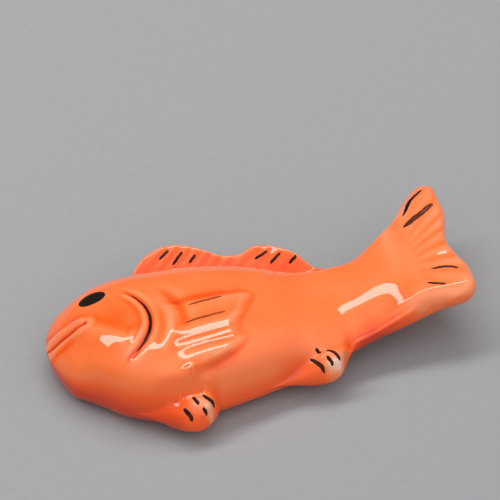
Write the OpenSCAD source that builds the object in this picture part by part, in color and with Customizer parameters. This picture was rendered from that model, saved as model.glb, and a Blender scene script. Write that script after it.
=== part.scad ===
// Fish-shaped porcelain chopstick rest, lying on its side, with hand-painted enamel marks.
// Millimetres. The snout points to -X, the dorsal fins to +Y, and the table is z = 0.
// A form point is named by its station, the way along the fish from the snout, and by its y.

/* [Overall] */
// Length from the snout to the ends of the tail lobes
overall_length = 68; // [58:1:80]
// Width of the trunk at its widest, without the fins
trunk_width = 28.6; // [24:0.2:34]
// Height of the crest of the back above the table
trunk_height = 12.8; // [10.5:0.1:15]
// Height above the table of the line along which the trunk is widest
girth_height = 3.6; // [2.8:0.1:4.6]
// Width of the bare flat foot's undercut on each side
foot_undercut = 3.4; // [2.4:0.1:4.4]

/* [Tail] */
// Width of the wrist where the trunk meets the tail
wrist_width = 15.6; // [13.4:0.2:18]
// Thickness of the wrist
wrist_thickness = 7; // [5.5:0.1:8.5]
// Span of the tail fan from lobe to lobe
tail_span = 26.6; // [20:0.2:29]
// Thickness of the tail fan
tail_thickness = 4.6; // [3.4:0.1:5.4]
// Clear height under the end of the tail fan
tail_rise = 8; // [6:0.1:9.5]
// Depth of the shallow notch between the two lobes
tail_notch_depth = 1.9; // [1:0.1:3.4]
// Distance by which the lower lobe ends ahead of the upper one
lower_lobe_setback = 0.8; // [0:0.1:1.6]
// Depth of the shallow dish of the tail fan
tail_dish_depth = 0.5; // [0.2:0.1:0.9]
// Radius of the rounded lobe corners
lobe_radius = 2.4; // [1.6:0.1:3.2]

/* [Fins] */
// Reach of the front dorsal fin beyond the back
front_fin_reach = 6.4; // [4.5:0.1:8]
// Reach of the rear dorsal fin beyond the back
rear_fin_reach = 6.2; // [4.5:0.1:8]
// Height of the top of the dorsal fins above the table
dorsal_fin_height = 7; // [6:0.1:8.5]
// Thickness of the dorsal fins
dorsal_fin_thickness = 3.2; // [2.4:0.1:4]
// Reach of the pelvic fin beyond the belly
pelvic_fin_reach = 3.4; // [2:0.1:4.5]
// Reach of the anal fin beyond the belly
anal_fin_reach = 3.2; // [2:0.1:4.5]
// Depth of the valley between the back and the dorsal fins
dorsal_fin_valley = 0.7; // [0.3:0.1:1.1]
// Swelling of the pelvic and anal fins above the flank
paired_fin_swell = 1.7; // [1:0.1:2.4]
// Number of soft rays in each dorsal fin
dorsal_ray_count = 7; // [5:1:9]
// Number of soft rays in the tail fan
tail_ray_count = 8; // [5:1:10]
// Depth of the grooves between the soft rays
ray_depth = 0.14; // [0.08:0.02:0.3]

/* [Head] */
// Depth of the mouth groove
mouth_depth = 0.6; // [0.3:0.1:1]
// Half-width of the mouth groove
mouth_half_width = 0.45; // [0.35:0.05:0.7]
// Height of the lips on both sides of the mouth groove
lip_height = 0.4; // [0.2:0.1:0.7]
// Fullness of the cheek
cheek_height = 0.3; // [0:0.1:0.6]
// Radius of the arc of the gill line
gill_line_radius = 8.25; // [7.5:0.05:9]
// Radius of the ridge of the gill cover
gill_cover_radius = 9.8; // [9.4:0.1:10.6]
// Height of the ridge of the gill cover
gill_cover_height = 0.55; // [0.3:0.05:0.9]
// Depth of the hollow behind the gill cover
gill_hollow_depth = 0.55; // [0.3:0.05:0.9]
// Height of the lower edge of the pectoral fin above the flank
pectoral_fin_height = 0.7; // [0.4:0.1:1]
// Height of the strongest ray of the pectoral fin
pectoral_ray_height = 0.5; // [0.3:0.05:0.7]

/* [Enamel] */
// Thickness of the enamel brush marks at their middle
enamel_thickness = 0.14; // [0.1:0.01:0.25]
// Length of the eye
eye_length = 4.4; // [3.4:0.1:5.4]
// Width of the eye
eye_width = 3.2; // [2.4:0.1:4]
// Width of the gill line at its thickest
gill_line_width = 0.6; // [0.45:0.05:0.9]
// Width of the thin brush strokes
thin_stroke_width = 0.5; // [0.35:0.05:0.8]
// Width of the broad brush stroke on the upper tail lobe
broad_stroke_width = 1; // [0.7:0.05:1.4]

/* [Fineness] */
// Number of stations along the fish
station_count = 100; // [92:1:106]
// Number of cells across the underside; the top has three times as many
under_count = 15; // [13:1:15]

/* [Hidden] */
glaze_colour = [0.97, 0.44, 0.2];
enamel_colour = [0.1, 0.07, 0.06];
// The tables give shares: first the share of the overall length, then the share of the size in the name.
station_shares = [[0, 0], [0.02, 0.0034], [0.045, 0.017], [0.075, 0.04], [0.12, 0.083], [0.62, 0.54],
    [0.76, 0.79], [0.9, 0.955], [0.95, 0.988], [1, 1]];
head_width_shares = [[0, 0.42], [0.04, 0.535], [0.08, 0.66], [0.14, 0.87], [0.22, 0.985], [0.3, 1], [1, 1]];
trunk_part_shares = [[0, 1], [0.33, 1], [0.42, 0.86], [0.5, 0.66], [0.6, 0.36], [0.68, 0.14], [0.76, 0],
    [1, 0]];
fan_part_shares = [[0, 0], [0.74, 0], [0.82, 0.18], [0.88, 0.42], [0.93, 0.68], [0.965, 0.87], [0.985, 0.95],
    [1, 1]];
midline_shares = [[0, -0.035], [0.03, -0.05], [0.07, -0.067], [0.15, -0.11], [0.24, -0.135], [0.42, -0.145],
    [0.5, -0.15], [0.6, -0.167], [0.68, -0.173], [0.75, -0.174], [0.82, -0.126], [0.88, -0.07],
    [0.94, -0.01], [1, 0.035]];
crest_shares = [[0, 0.48], [0.04, 0.65], [0.09, 0.87], [0.16, 0.98], [0.25, 1], [0.4, 0.97], [0.52, 0.88],
    [0.62, 0.78], [0.7, 0.73], [1, 0.73]];
lift_shares = [[0, 0.12], [0.04, 0], [0.5, 0], [0.58, 0.05], [0.66, 0.18], [0.76, 0.42], [0.88, 0.76],
    [1, 1]];
front_fin_shares = [[0, 0], [0.225, 0], [0.256, 0.36], [0.3, 0.8], [0.36, 1], [0.42, 0.82], [0.47, 0.37],
    [0.51, 0.05], [0.55, 0], [1, 0]];
rear_fin_shares = [[0, 0], [0.42, 0], [0.465, 0.14], [0.505, 0.53], [0.545, 0.93], [0.58, 1], [0.62, 0.76],
    [0.665, 0.3], [0.71, 0], [1, 0]];
pelvic_fin_shares = [[0, 0], [0.14, 0], [0.2, 0.3], [0.25, 0.85], [0.29, 1], [0.325, 0.5], [0.35, 0],
    [1, 0]];
anal_fin_shares = [[0, 0], [0.46, 0], [0.53, 0.36], [0.59, 0.95], [0.63, 1], [0.662, 0.35], [0.685, 0],
    [1, 0]];

// How square a section is: 2 is an ellipse, and more is fuller towards the edges.
under_fullness = 3;
back_fullness = 2.6;
belly_fullness = 3.6;
wrist_fullness = 2;
snout_length = 3.2;
tail_rim_radius = 2;
lift_start_share = 0.5;
lift_span_share = 0.3;
wrist_share = 0.72;
fan_start_span_share = 0.16;
fin_root_reach = 2.4;
fin_lean_power = 2.2;
fin_valley_place = 0.6;
fin_valley_half_width = 1.8;
paired_fin_height = 2.4;
paired_fin_rim = 3;
notch_half_share = 0.6;
notch_place_share = -0.08;
fan_root_share = 0.8;
fan_angle = 110;
relief_edge = 0.8;
overrun = 1;
belly_band_share = 0.16;
back_band_share = 0.78;
band_width_share = 0.12;
belly_band_shares = [[0, 0], [0.25, 0.06], [0.6, 0.36], [1, 1]];
fin_band_shares = [[0, 0], [0.5, 0.55], [0.8, 0.91], [0.92, 0.985], [1, 1]];
// Places are shares of the overall length and of the trunk width, from the snout and the axis of the head.
mouth_shares = [[0, -0.033], [0.085, -0.096]];
lip_place = 1.05;
lip_half_width = 0.7;
cheek_shares = [[0.081, -0.196], [0.199, -0.35]];
cheek_half_width = 1.9;
gill_line_centre_share = [0.109, -0.16];
gill_line_angles = [-58, 37];
gill_fade = 16;
gill_line_depth = 0.42;
gill_groove_half_width = 0.65;
cheek_rim_height = 0.34;
cheek_rim_place = 0.95;
cheek_rim_half_width = 0.7;
gill_cover_centre_share = [0.125, -0.21];
gill_cover_low_angles = [-78, -58];
gill_cover_high_angles = [-28, 42];
gill_cover_half_width = 1;
gill_hollow_angles = [-34, 40];
gill_hollow_fade = 22;
gill_hollow_place = 2.3;
pectoral_root_share = 0.25;
pectoral_root_fade = 3;
pectoral_low_share = -0.51;
pectoral_high_share = -0.1;
pectoral_spread_shares = [-0.49, -0.105];
pectoral_upper_share = 0.2;
pectoral_side_fade = 1.6;
pectoral_tip_fade = 2.2;
pectoral_tip_shares = [[-0.507, 0.412], [-0.444, 0.425], [-0.381, 0.4], [-0.339, 0.412], [-0.234, 0.451],
    [-0.136, 0.475], [-0.09, 0.462]];
// The rays of the pectoral fin: start, end, half-width and height
pectoral_ray_shares = [[[0.294, -0.22], [0.468, -0.147], 0.047, 0.4],
    [[0.288, -0.346], [0.421, -0.294], 0.033, 0.48], [[0.279, -0.42], [0.409, -0.367], 0.028, 0.44],
    [[0.229, -0.507], [0.425, -0.451], 0.038, 1]];
fold_shares = [[0.184, -0.528], [0.346, -0.58]];
fold_height = 0.5;
fold_half_width = 0.8;
fold_fade_share = 0.45;
fin_zone_shares = [0.206, 0.647];
fin_ray_slant = 1.15;
tail_ray_shares = [0.86, 0.98];
nub_radius = 2.1;
wrist_lean_shares = [0.559, 0.882];
wrist_lean_fade_share = 0.118;
wrist_lean = 0.07;
wrist_rim_shares = [0.647, 0.882];
wrist_rim_fade_share = 0.059;
wrist_rim_height = 0.15;
wrist_rim_place = 1;
wrist_rim_half_width = 0.7;
trunk_end_share = 0.765;
under_ratio = 3;
// Each brush stroke: the places that it runs through. Those of the fins and the tail, and the two nubs, give
// the share of the way across the fish there, from the ventral outline to the dorsal one.
pelvic_nub_shares = [[0.278, 0.09], [0.307, 0.058]];
anal_nub_shares = [[0.606, 0.068], [0.638, 0.03]];
front_fin_stroke_shares = [[[0.322, 0.938], [0.35, 0.962]], [[0.35, 0.889], [0.381, 0.951]],
    [[0.391, 0.881], [0.41, 0.923]]];
rear_fin_stroke_shares = [[[0.54, 0.913], [0.575, 0.944]], [[0.573, 0.875], [0.602, 0.945]],
    [[0.612, 0.874], [0.635, 0.955]]];
pectoral_stroke_shares = [[[0.324, -0.171], [0.398, -0.158]], [[0.299, -0.293], [0.398, -0.262]]];
pelvic_stroke_shares = [[[0.296, 0.071], [0.309, 0.037], [0.32, 0.02]], [[0.274, 0.078], [0.285, 0.048]],
    [[0.291, 0.036], [0.3, 0.02]], [[0.25, 0.044], [0.265, 0.02]]];
anal_stroke_shares = [[[0.566, 0.082], [0.572, 0.063], [0.588, 0.02]], [[0.582, 0.118], [0.592, 0.094]],
    [[0.603, 0.091], [0.613, 0.08], [0.63, 0.024]], [[0.599, 0.057], [0.611, 0.022]]];
tail_thin_stroke_shares = [[[0.893, 0.906], [0.934, 0.961], [0.969, 0.953]],
    [[0.907, 0.279], [0.944, 0.245], [0.968, 0.199]], [[0.878, 0.156], [0.922, 0.087]]];
tail_broad_stroke_shares = [[[0.882, 0.814], [0.93, 0.802], [0.974, 0.802]]];
eye_centre_share = [0.121, 0.08];
eye_tilt = 4;
eye_ring_shares = [0, 0.5, 0.85, 1];
eye_sides = 24;
gill_steps = 22;
stroke_steps = 9;
stroke_edge_share = 0.5;
stroke_end_share = 0.3;
stroke_taper_share = 0.35;

// Plain curves
function limited(v, low, high) = min(max(v, low), high);
function eased(v) = let (c = limited(v, 0, 1)) c * c * (3 - 2 * c);
function rounded(v) = let (c = limited(v, 0, 1)) sqrt(c * (2 - c));
function bell(v) = exp(-v * v);
function mixed(a, b, share) = a + (b - a) * share;
function row_before(table, v, i = 0) =
    i >= len(table) - 2 || v < table[i + 1][0] ? i : row_before(table, v, i + 1);
function slope_at(table, i) = let (a = max(i - 1, 0), b = min(i + 1, len(table) - 1))
    (table[b][1] - table[a][1]) / (table[b][0] - table[a][0]);
function curve(table, v) = let (
        w = limited(v, table[0][0], table[len(table) - 1][0]),
        i = row_before(table, w),
        h = table[i + 1][0] - table[i][0],
        u = (w - table[i][0]) / h
    )
    (2 * u ^ 3 - 3 * u ^ 2 + 1) * table[i][1] + (u ^ 3 - 2 * u ^ 2 + u) * h * slope_at(table, i)
    + (3 * u ^ 2 - 2 * u ^ 3) * table[i + 1][1] + (u ^ 3 - u ^ 2) * h * slope_at(table, i + 1);
function place(share) = [share[0] * overall_length, share[1] * trunk_width];
function segment_way(p, a, b) = limited((p - a) * (b - a) / ((b - a) * (b - a)), 0, 1);
function segment_distance(p, a, b) = norm(p - mixed(a, b, segment_way(p, a, b)));

// The section at one station is a list of sizes, and each of these functions reads one of them
function half_width(q) = q[0]; // half-width of the trunk
function midline(q) = q[1]; // y of its midline
function back(q) = q[2]; // y of the back
function belly(q) = q[3]; // y of the belly
function dorsal_edge(q) = q[4]; // y of the outline on the dorsal side, fins included
function ventral_edge(q) = q[5]; // y of the outline on the ventral side, fins included
function seam(q) = q[6]; // height of the widest line
function dome_rise(q) = q[7]; // rise of the crest above it
function under_drop(q) = q[8]; // drop of the underside below it
function fan(q) = q[9]; // how far the section has turned into the flat fan
function dorsal_fin(q) = q[10]; // presence of a dorsal fin
function ventral_fin(q) = q[11]; // presence of a ventral fin
function plate_half(q) = q[12]; // half-thickness of the fan
function ends(q) = q[13]; // rounding of the snout and of the end of the tail
function station(q) = q[14]; // way along the fish
function raised(q) = q[15]; // how far it has left the table and turned into the wrist
function fin_rise(reach, shares, k) = reach * max(curve(shares, k), 0);
function section(s) = let (
        k = s / overall_length,
        trunk_part = curve(trunk_part_shares, k),
        fan_part = curve(fan_part_shares, k),
        snout = rounded(s / snout_length),
        half = snout * curve(head_width_shares, k) * (trunk_width * trunk_part + tail_span * fan_part
            + wrist_width * (1 - trunk_part - fan_part)) / 2,
        middle = trunk_width * curve(midline_shares, k),
        fins_up = fin_rise(front_fin_reach, front_fin_shares, k)
            + fin_rise(rear_fin_reach, rear_fin_shares, k),
        fins_down = fin_rise(pelvic_fin_reach, pelvic_fin_shares, k)
            + fin_rise(anal_fin_reach, anal_fin_shares, k),
        raised = eased((k - lift_start_share) / lift_span_share),
        thickness = mixed(wrist_thickness, tail_thickness, eased((k - wrist_share) / (1 - wrist_share))),
        lift = tail_rise * curve(lift_shares, k),
        seam = mixed(girth_height, thickness / 2, raised) + lift,
        crest = mixed(trunk_height * curve(crest_shares, k), lift + thickness, raised),
        inner = limited(1 - foot_undercut / max(half, foot_undercut), 0, 1),
        depth = mixed(girth_height / sqrt(1 - inner ^ under_fullness), thickness / 2, raised)
    )
    [half, middle, middle + half, middle - half, middle + half + fins_up, middle - half - fins_down,
        seam, crest - seam, depth, eased((k - wrist_share) / fan_start_span_share),
        eased(fins_up / fin_root_reach), eased(fins_down / fin_root_reach), thickness / 2,
        snout * rounded((overall_length - s) / tail_rim_radius), s, raised];

function body_place(share) = let (q = section(share[0] * overall_length))
    [share[0] * overall_length, mixed(ventral_edge(q), dorsal_edge(q), share[1])];

// Relief on the upper face, a height added at station s and across place y
pelvic_nub_line = [for (share = pelvic_nub_shares) body_place(share)];
anal_nub_line = [for (share = anal_nub_shares) body_place(share)];
function window(v, low, high, fade) = eased((v - low) / fade) * eased((high - v) / fade);
function arc_angle(p, centre) = atan2(p[1] - centre[1], p[0] - centre[0]);
function mouth_relief(p) = let (d = segment_distance(p, place(mouth_shares[0]), place(mouth_shares[1])))
    lip_height * bell((d - lip_place) / lip_half_width) - mouth_depth * bell(d / mouth_half_width);
function cheek_relief(p) = cheek_height
    * bell(segment_distance(p, place(cheek_shares[0]), place(cheek_shares[1])) / cheek_half_width);
function gill_relief(p) = let (
        r = norm(p - place(gill_line_centre_share)) - gill_line_radius,
        a = arc_angle(p, place(gill_line_centre_share))
    )
    window(a, gill_line_angles[0] - gill_fade, gill_line_angles[1] + gill_fade, gill_fade)
    * (cheek_rim_height * bell((r + cheek_rim_place) / cheek_rim_half_width)
        - gill_line_depth * bell(r / gill_groove_half_width));
function cover_relief(p) = let (
        r = norm(p - place(gill_cover_centre_share)) - gill_cover_radius,
        a = arc_angle(p, place(gill_cover_centre_share)),
        low = (a - gill_cover_low_angles[0]) / (gill_cover_low_angles[1] - gill_cover_low_angles[0]),
        high = (gill_cover_high_angles[1] - a) / (gill_cover_high_angles[1] - gill_cover_high_angles[0])
    )
    eased(low) * eased(high) * gill_cover_height * bell(r / gill_cover_half_width)
    - window(a, gill_hollow_angles[0], gill_hollow_angles[1], gill_hollow_fade) * gill_hollow_depth
        * bell((r - gill_hollow_place) / gill_cover_half_width);
function ray_relief(p, ray) = ray[3]
    * bell(segment_distance(p, place(ray[0]), place(ray[1])) / (ray[2] * trunk_width));
function pectoral_relief(p) = let (
        share = p[1] / trunk_width,
        rays = max([for (ray = pectoral_ray_shares) ray_relief(p, ray)]),
        root = eased((p[0] - pectoral_root_share * overall_length) / pectoral_root_fade),
        sides = window(p[1], pectoral_low_share * trunk_width, pectoral_high_share * trunk_width,
            pectoral_side_fade),
        spread = mixed(1, pectoral_upper_share, eased((share - pectoral_spread_shares[0])
            / (pectoral_spread_shares[1] - pectoral_spread_shares[0]))),
        tip = eased((overall_length * curve(pectoral_tip_shares, share) - p[0]) / pectoral_tip_fade)
    )
    tip * (pectoral_fin_height * root * sides * spread + pectoral_ray_height * rays);
function fold_relief(p) = let (a = place(fold_shares[0]), b = place(fold_shares[1]))
    fold_height * bell(segment_distance(p, a, b) / fold_half_width)
    * window(segment_way(p, a, b), 0, 1, fold_fade_share);
function fin_ray_relief(s, y, q) = let (
        pitch = (fin_zone_shares[1] - fin_zone_shares[0]) / 2 / dorsal_ray_count,
        phase = ((s + fin_ray_slant * (back(q) - y)) / overall_length - fin_zone_shares[0]) / pitch
    )
    -ray_depth * dorsal_fin(q) * eased((y - back(q)) / fin_root_reach) * (1 - cos(360 * phase)) / 2;
function tail_relief(s, y, q) = let (
        a = atan2(y - midline(q), s - fan_root_share * overall_length),
        v = (y - midline(q)) / half_width(q),
        reach = eased((s / overall_length - tail_ray_shares[0]) / (tail_ray_shares[1] - tail_ray_shares[0]))
    )
    reach * (ray_depth * (cos(360 * tail_ray_count * a / fan_angle) - 1) / 2 - tail_dish_depth * (1 - v * v));
function nub_relief(p, line) = paired_fin_swell * bell(segment_distance(p, line[0], line[1]) / nub_radius);
function wrist_relief(s, y, q) = let (k = s / overall_length)
    wrist_lean * (y - midline(q))
        * window(k, wrist_lean_shares[0], wrist_lean_shares[1], wrist_lean_fade_share)
    + wrist_rim_height * bell((y - ventral_edge(q) - wrist_rim_place) / wrist_rim_half_width)
        * window(k, wrist_rim_shares[0], wrist_rim_shares[1], wrist_rim_fade_share);
function trunk_relief(p, q) = mouth_relief(p) + cheek_relief(p) + gill_relief(p) + cover_relief(p)
    + pectoral_relief(p) + fold_relief(p) + nub_relief(p, pelvic_nub_line) + nub_relief(p, anal_nub_line)
    + fin_ray_relief(p[0], p[1], q);
function relief(s, y, q) = wrist_relief(s, y, q)
    + (s < trunk_end_share * overall_length ? trunk_relief([s, y], q) : tail_relief(s, y, q));

// The two faces
function edge_way(y, q) = min(dorsal_edge(q) - y, y - ventral_edge(q));
function sheet(y, q) = let (
        out = limited((y - back(q) + fin_root_reach) / (dorsal_edge(q) - back(q) + fin_root_reach), 0, 1)
    )
    seam(q) + dorsal_fin(q) * (ends(q) * (dorsal_fin_height - dorsal_fin_thickness / 2 - seam(q))
        * out ^ fin_lean_power
        - dorsal_fin_valley * bell((y - back(q) - fin_valley_place) / fin_valley_half_width));
function plates(y, q) = let (
        d = edge_way(y, q),
        dorsal = eased((y - midline(q)) / half_width(q)),
        fin = dorsal_fin_thickness / 2 * rounded(2 * d / dorsal_fin_thickness)
    )
    fan(q) * (plate_half(q) * rounded(d / tail_rim_radius)) ^ 3 + dorsal_fin(q) * dorsal * fin ^ 3;
function belly_plate(y, q) = ventral_fin(q) * eased((midline(q) - y) / half_width(q)) * (paired_fin_height
    * rounded(edge_way(y, q) / paired_fin_rim)) ^ 3;
function dome(y, q, power) = let (v = limited(abs(y - midline(q)) / half_width(q), 0, 1)) sqrt(1 - v ^ power);
function tail_pull(y, q) = let (
        v = (y - midline(q)) / half_width(q),
        corner = limited((abs(y - midline(q)) - half_width(q) + lobe_radius) / lobe_radius, 0, 1)
    )
    eased((station(q) / overall_length - fan_root_share) / (1 - fan_root_share))
    * (tail_notch_depth * (1 - eased(abs(v - notch_place_share) / notch_half_share))
        + lower_lobe_setback * eased(-v)
        + lobe_radius * (1 - sqrt(1 - corner * corner)));
function upper_fullness(y, q) =
    mixed(y > midline(q) ? back_fullness : belly_fullness, wrist_fullness, raised(q));
function upper_height(y, q) = ends(q) * ((1 - fan(q)) * (dome_rise(q) * dome(y, q, upper_fullness(y, q))) ^ 3
    + plates(y, q) + belly_plate(y, q)) ^ (1 / 3);
function lower_height(y, q) = ends(q) * ((1 - fan(q)) * (under_drop(q) * dome(y, q, under_fullness)) ^ 3
    + plates(y, q) + belly_plate(y, q)) ^ (1 / 3);
function upper_point(y, q) = [station(q) - tail_pull(y, q), y, sheet(y, q) + upper_height(y, q)
    + relief(station(q), y, q) * eased(edge_way(y, q) / relief_edge) * eased(station(q) / relief_edge)];
function lower_point(y, q) = [station(q) - tail_pull(y, q), y, sheet(y, q) - lower_height(y, q)];

// The body: a grid of stations and across places, shared along its outline
upper_count = under_ratio * under_count;
function across(v, q) = let (
        low = belly(q) + half_width(q) * band_width_share,
        high = back(q) - half_width(q) * band_width_share
    )
    v < belly_band_share ? mixed(ventral_edge(q), low, curve(belly_band_shares, v / belly_band_share))
        : v < back_band_share
            ? mixed(low, high, (v - belly_band_share) / (back_band_share - belly_band_share))
        : mixed(high, dorsal_edge(q), curve(fin_band_shares, (v - back_band_share) / (1 - back_band_share)));
sections = [for (i = [1 : station_count]) section(overall_length * curve(station_shares, i / station_count))];
upper_rows = [for (q = sections) [for (j = [0 : upper_count]) upper_point(across(j / upper_count, q), q)]];
lower_rows = [for (i = [0 : station_count - 2]) [for (j = [1 : under_count - 1])
    lower_point(across(j / under_count, sections[i]), sections[i])]];
snout_point = [0, midline(section(0)), seam(section(0))];
body_points = concat([snout_point], [for (row = upper_rows) each row], [for (row = lower_rows) each row]);
outline_low = min([for (p = body_points) p[1]]);
outline_high = max([for (p = body_points) p[1]]);
outline_end = max([for (p = body_points) p[0]]);
centring = [-outline_end / 2, -(outline_low + outline_high) / 2, 0];
function upper_index(i, j) = 1 + i * (upper_count + 1) + j;
function lower_index(i, j) = j == 0 || j == under_count || i == station_count - 1
    ? upper_index(i, under_ratio * j)
    : 1 + station_count * (upper_count + 1) + i * (under_count - 1) + j - 1;
upper_faces = [for (i = [0 : station_count - 2], j = [0 : upper_count - 1]) each [
    [upper_index(i, j), upper_index(i, j + 1), upper_index(i + 1, j + 1)],
    [upper_index(i, j), upper_index(i + 1, j + 1), upper_index(i + 1, j)]]];
lower_faces = [for (i = [0 : station_count - 3], j = [0 : under_count - 1]) each [
    [lower_index(i, j), lower_index(i + 1, j + 1), lower_index(i, j + 1)],
    [lower_index(i, j), lower_index(i + 1, j), lower_index(i + 1, j + 1)]]];
end_faces = [for (j = [0 : under_count - 1]) let (i = station_count - 2, e = under_ratio * j) each [
    [lower_index(i, j), upper_index(i + 1, e), lower_index(i, j + 1)],
    for (k = [e : e + under_ratio - 1])
        [lower_index(i, j + 1), upper_index(i + 1, k), upper_index(i + 1, k + 1)]]];
snout_faces = concat([for (j = [0 : upper_count - 1]) [0, upper_index(0, j + 1), upper_index(0, j)]],
    [for (j = [0 : under_count - 1]) [0, lower_index(0, j), lower_index(0, j + 1)]]);

module fish_body() color(glaze_colour) translate(centring) difference() {
    polyhedron(body_points, concat(upper_faces, lower_faces, end_faces, snout_faces), convexity = 6);
    translate([-overrun, outline_low - overrun, -trunk_height])
        cube([overall_length + 2 * overrun, outline_high - outline_low + 2 * overrun, trunk_height]);
}

// Enamel marks that follow the facets of the upper face
station_rows = [for (q = sections) [station(q)]];
function column_y(i, j, f) = mixed(upper_rows[i][j][1], upper_rows[i + 1][j][1], f);
function column_before(i, f, y, j = 0) =
    j >= upper_count - 1 || y < column_y(i, j + 1, f) ? j : column_before(i, f, y, j + 1);
function skin(s, y) = let (
        i = row_before(station_rows, s),
        f = (s - station(sections[i])) / (station(sections[i + 1]) - station(sections[i])),
        j = column_before(i, f, y),
        diagonal = mixed(upper_rows[i][j], upper_rows[i + 1][j + 1], f),
        low = mixed(upper_rows[i][j], upper_rows[i + 1][j], f),
        high = mixed(upper_rows[i][j + 1], upper_rows[i + 1][j + 1], f)
    )
    y > diagonal[1] ? mixed(diagonal, high, (y - diagonal[1]) / (high[1] - diagonal[1]))
        : mixed(low, diagonal, (y - low[1]) / (diagonal[1] - low[1]));
function track(path, w) = let (
        n = len(path) - 1,
        sx = [for (i = [0 : n]) [i / n, path[i][0]]],
        sy = [for (i = [0 : n]) [i / n, path[i][1]]]
    )
    [curve(sx, w), curve(sy, w)];
function placed(paths) = [for (path = paths) [for (share = path) place(share)]];
function body_placed(paths) = [for (path = paths) [for (share = path) body_place(share)]];
function swelling(w) = mixed(stroke_end_share, 1, rounded(min(w, 1 - w) / stroke_taper_share));
function turned_left(v) = [-v[1], v[0]] / norm(v);
function ribbon_points(centres, width) = let (n = len(centres) - 1)
    [for (i = [0 : n]) let (
            side = turned_left(centres[min(i + 1, n)] - centres[max(i - 1, 0)]) * width / 2 * swelling(i / n),
            left = centres[i] + side,
            right = centres[i] - side,
            thick = [0, 0, enamel_thickness * swelling(i / n)]
        )
        each [skin(left[0], left[1]), skin(left[0], left[1]) + thick * stroke_edge_share,
            skin(centres[i][0], centres[i][1]) + thick,
            skin(right[0], right[1]) + thick * stroke_edge_share, skin(right[0], right[1]),
            skin(centres[i][0], centres[i][1])]];
ring_size = 6;
upper_sides = 4;
cap_faces = [[0, 1, 2], [0, 2, 5], [5, 2, 3], [5, 3, 4]];
function ribbon_faces(n) = concat(
    cap_faces,
    [for (face = cap_faces) [for (k = [len(face) - 1 : -1 : 0]) n * ring_size + face[k]]],
    [for (i = [0 : n - 1], k = [0 : ring_size - 1]) let (
            a = i * ring_size + k,
            b = i * ring_size + (k + 1) % ring_size
        )
        each k < upper_sides ? [[a, b + ring_size, b], [a, a + ring_size, b + ring_size]]
            : [[a, a + ring_size, b], [b, a + ring_size, b + ring_size]]]);
module ribbon(centres, width)
    polyhedron(ribbon_points(centres, width), ribbon_faces(len(centres) - 1), convexity = 4);
module strokes(paths, width) color(enamel_colour) translate(centring)
    for (path = paths) ribbon([for (i = [0 : stroke_steps]) track(path, i / stroke_steps)], width);

function eye_place(r, a) = place(eye_centre_share) + r * [
    cos(eye_tilt) * cos(a) * eye_length / 2 - sin(eye_tilt) * sin(a) * eye_width / 2,
    sin(eye_tilt) * cos(a) * eye_length / 2 + cos(eye_tilt) * sin(a) * eye_width / 2];
function eye_point(r, a, height) = let (p = eye_place(r, a)) skin(p[0], p[1]) + [0, 0, height];
eye_last = len(eye_ring_shares) - 1;
eye_points = concat(
    [eye_point(0, 0, enamel_thickness), eye_point(0, 0, 0)],
    [for (i = [1 : eye_last], k = [0 : eye_sides - 1]) eye_point(eye_ring_shares[i], k * 360 / eye_sides,
        enamel_thickness * mixed(1, stroke_edge_share, eye_ring_shares[i] ^ 4))],
    [for (i = [1 : eye_last], k = [0 : eye_sides - 1])
        eye_point(eye_ring_shares[i], k * 360 / eye_sides, 0)]);
function eye_index(level, i, k) = 2 + (level * eye_last + i - 1) * eye_sides + k % eye_sides;
eye_faces = concat(
    [for (k = [0 : eye_sides - 1]) each [[0, eye_index(0, 1, k + 1), eye_index(0, 1, k)],
        [1, eye_index(1, 1, k), eye_index(1, 1, k + 1)]]],
    [for (i = [1 : eye_last - 1], k = [0 : eye_sides - 1]) each [
        [eye_index(0, i, k), eye_index(0, i, k + 1), eye_index(0, i + 1, k + 1)],
        [eye_index(0, i, k), eye_index(0, i + 1, k + 1), eye_index(0, i + 1, k)],
        [eye_index(1, i, k), eye_index(1, i + 1, k + 1), eye_index(1, i, k + 1)],
        [eye_index(1, i, k), eye_index(1, i + 1, k), eye_index(1, i + 1, k + 1)]]],
    [for (k = [0 : eye_sides - 1]) each [
        [eye_index(0, eye_last, k), eye_index(0, eye_last, k + 1), eye_index(1, eye_last, k + 1)],
        [eye_index(0, eye_last, k), eye_index(1, eye_last, k + 1), eye_index(1, eye_last, k)]]]);

module eye_enamel() color(enamel_colour) translate(centring) polyhedron(eye_points, eye_faces, convexity = 4);
module gill_line_enamel() color(enamel_colour) translate(centring)
    ribbon([for (i = [0 : gill_steps])
        let (a = mixed(gill_line_angles[0], gill_line_angles[1], i / gill_steps))
        place(gill_line_centre_share) + gill_line_radius * [cos(a), sin(a)]], gill_line_width);
module front_dorsal_fin_strokes() strokes(body_placed(front_fin_stroke_shares), thin_stroke_width);
module rear_dorsal_fin_strokes() strokes(body_placed(rear_fin_stroke_shares), thin_stroke_width);
module pectoral_fin_strokes() strokes(placed(pectoral_stroke_shares), thin_stroke_width);
module pelvic_fin_strokes() strokes(body_placed(pelvic_stroke_shares), thin_stroke_width);
module anal_fin_strokes() strokes(body_placed(anal_stroke_shares), thin_stroke_width);
module tail_fin_strokes() {
    strokes(body_placed(tail_thin_stroke_shares), thin_stroke_width);
    strokes(body_placed(tail_broad_stroke_shares), broad_stroke_width);
}

fish_body();
eye_enamel();
gill_line_enamel();
front_dorsal_fin_strokes();
rear_dorsal_fin_strokes();
pectoral_fin_strokes();
pelvic_fin_strokes();
anal_fin_strokes();
tail_fin_strokes();
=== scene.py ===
"""The looks of the fish-shaped porcelain chopstick rest: a glazed body with brushed enamel marks.

On the fish, s is the way along it from the snout and y the way across it, in millimetres, before
the tail is notched and the fish is centred. On a sheet, u and v are the shares of the way along
and across it, from 0 to 1. Turns on the fish are in degrees. A start, end or onset is a place and
the way over which a form comes or goes, and a sweep or window is from, to and the fade at its ends.
"""

import math

import bpy
import numpy as np
from mathutils import Matrix, Vector


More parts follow.
